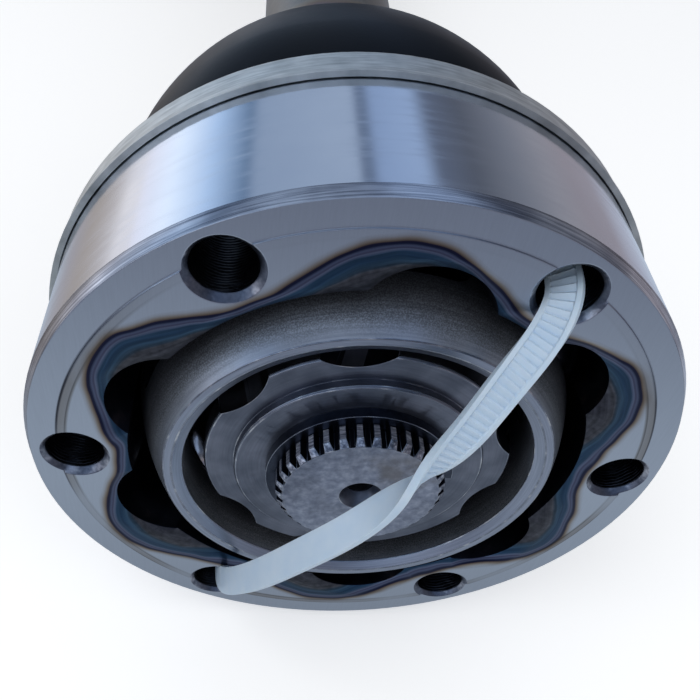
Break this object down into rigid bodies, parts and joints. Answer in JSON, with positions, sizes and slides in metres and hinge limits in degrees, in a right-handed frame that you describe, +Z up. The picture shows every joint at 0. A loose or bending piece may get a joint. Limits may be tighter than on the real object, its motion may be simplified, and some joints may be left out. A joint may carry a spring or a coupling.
{
  "type": "drive shaft",
  "caption": "Drive shaft with a bolted cross-groove ball joint, pressed cover and rubber boot at each end of a friction-welded tubular bar.",
  "frame": {"origin": "axis of the near bolt circle, on the near flange face", "axes": "+Y along the shaft towards the far flange, +Z up, +X to the right seen from the near end"},
  "size_m": [0.1032, 0.431, 0.1032],
  "materials": {
    "ring_steel": "ground, heat-tinted at the tracks",
    "cover_sheet": "zinc-plated pressed sheet",
    "boot_rubber": "satin moulded rubber",
    "cage_steel": "phosphated and ground",
    "race_steel": "turned and hardened",
    "spring_steel": "oiled spring steel",
    "shaft_steel": "rough forged and turned",
    "clamp_band": "bright stainless band",
    "ball_steel": "polished bearing ball"
  },
  "bodies": {
    "near_flange": {"near_outer_ring": "ring_steel", "near_cover": "cover_sheet", "near_boot": "boot_rubber"},
    "shaft": {"near_race": "race_steel", "near_circlip": "spring_steel", "near_washer": "spring_steel", "near_stub": "shaft_steel", "near_clamp": "clamp_band", "shaft_tube": "shaft_steel", "far_race": "race_steel", "far_circlip": "spring_steel", "far_washer": "spring_steel", "far_stub": "shaft_steel", "far_clamp": "clamp_band"},
    "near_cage": {"near_cage": "cage_steel"},
    "near_ball_1": {"near_ball_1": "ball_steel"},
    "near_ball_2": {"near_ball_2": "ball_steel"},
    "near_ball_3": {"near_ball_3": "ball_steel"},
    "near_ball_4": {"near_ball_4": "ball_steel"},
    "near_ball_5": {"near_ball_5": "ball_steel"},
    "near_ball_6": {"near_ball_6": "ball_steel"},
    "far_flange": {"far_outer_ring": "ring_steel", "far_cover": "cover_sheet", "far_boot": "boot_rubber"},
    "far_cage": {"far_cage": "cage_steel", "far_ball_2": "ball_steel", "far_ball_5": "ball_steel"},
    "far_ball_1": {"far_ball_1": "ball_steel"},
    "far_ball_3": {"far_ball_3": "ball_steel"},
    "far_ball_4": {"far_ball_4": "ball_steel"},
    "far_ball_6": {"far_ball_6": "ball_steel"}
  },
  "joints": [
    {"name": "near_plunge", "type": "slide", "parent": "near_flange", "child": "shaft", "axis": [0, 1, 0], "range_m": [-0.004, 0.01], "deforming": ["near_boot"]},
    {"name": "near_cage_slide", "type": "slide", "parent": "near_flange", "child": "near_cage", "axis": [0, 1, 0], "range_m": [-0.0021, 0.0051]},
    {"name": "near_ball_1_slide", "type": "slide", "parent": "near_flange", "child": "near_ball_1", "axis": [0.1378, 0.9613, 0.2387], "range_m": [-0.00218, 0.0053]},
    {"name": "near_ball_2_slide", "type": "slide", "parent": "near_flange", "child": "near_ball_2", "axis": [-0.2756, 0.9613, 0], "range_m": [-0.00218, 0.0053]},
    {"name": "near_ball_3_slide", "type": "slide", "parent": "near_flange", "child": "near_ball_3", "axis": [0.1378, 0.9613, -0.2387], "range_m": [-0.00218, 0.0053]},
    {"name": "near_ball_4_slide", "type": "slide", "parent": "near_flange", "child": "near_ball_4", "axis": [0.1378, 0.9613, 0.2387], "range_m": [-0.00218, 0.0053]},
    {"name": "near_ball_5_slide", "type": "slide", "parent": "near_flange", "child": "near_ball_5", "axis": [-0.2756, 0.9613, 0], "range_m": [-0.00218, 0.0053]},
    {"name": "near_ball_6_slide", "type": "slide", "parent": "near_flange", "child": "near_ball_6", "axis": [0.1378, 0.9613, -0.2387], "range_m": [-0.00218, 0.0053]},
    {"name": "far_bend", "type": "hinge", "parent": "shaft", "child": "far_flange", "pos_m": [0, 0.404, 0], "axis": [0, 0, 1], "range_deg": [-15, 15], "deforming": ["far_boot"]},
    {"name": "far_cage_bend", "type": "hinge", "parent": "shaft", "child": "far_cage", "pos_m": [0, 0.404, 0], "axis": [0, 0, 1], "range_deg": [-7.6, 7.6]},
    {"name": "far_ball_1_slide", "type": "slide", "parent": "far_cage", "child": "far_ball_1", "axis": [0.5, 0, 0.866], "range_m": [-0.00109, 0.00109]},
    {"name": "far_ball_3_slide", "type": "slide", "parent": "far_cage", "child": "far_ball_3", "axis": [0.5, 0, -0.866], "range_m": [-0.00109, 0.00109]},
    {"name": "far_ball_4_slide", "type": "slide", "parent": "far_cage", "child": "far_ball_4", "axis": [-0.5, 0, -0.866], "range_m": [-0.00109, 0.00109]},
    {"name": "far_ball_6_slide", "type": "slide", "parent": "far_cage", "child": "far_ball_6", "axis": [-0.5, 0, 0.866], "range_m": [-0.00109, 0.00109]}
  ],
  "couplings": [
    {"joint": "near_cage_slide", "follows": "near_plunge", "ratio": 0.5},
    {"joint": "near_ball_1_slide", "follows": "near_plunge", "ratio": 0.52015},
    {"joint": "near_ball_2_slide", "follows": "near_plunge", "ratio": 0.52015},
    {"joint": "near_ball_3_slide", "follows": "near_plunge", "ratio": 0.52015},
    {"joint": "near_ball_4_slide", "follows": "near_plunge", "ratio": 0.52015},
    {"joint": "near_ball_5_slide", "follows": "near_plunge", "ratio": 0.52015},
    {"joint": "near_ball_6_slide", "follows": "near_plunge", "ratio": 0.52015},
    {"joint": "far_cage_bend", "follows": "far_bend", "ratio": 0.5},
    {"joint": "far_ball_1_slide", "follows": "far_bend", "m_per_rad": 0.003787},
    {"joint": "far_ball_3_slide", "follows": "far_bend", "m_per_rad": -0.003787},
    {"joint": "far_ball_4_slide", "follows": "far_bend", "m_per_rad": 0.003787},
    {"joint": "far_ball_6_slide", "follows": "far_bend", "m_per_rad": -0.003787}
  ]
}
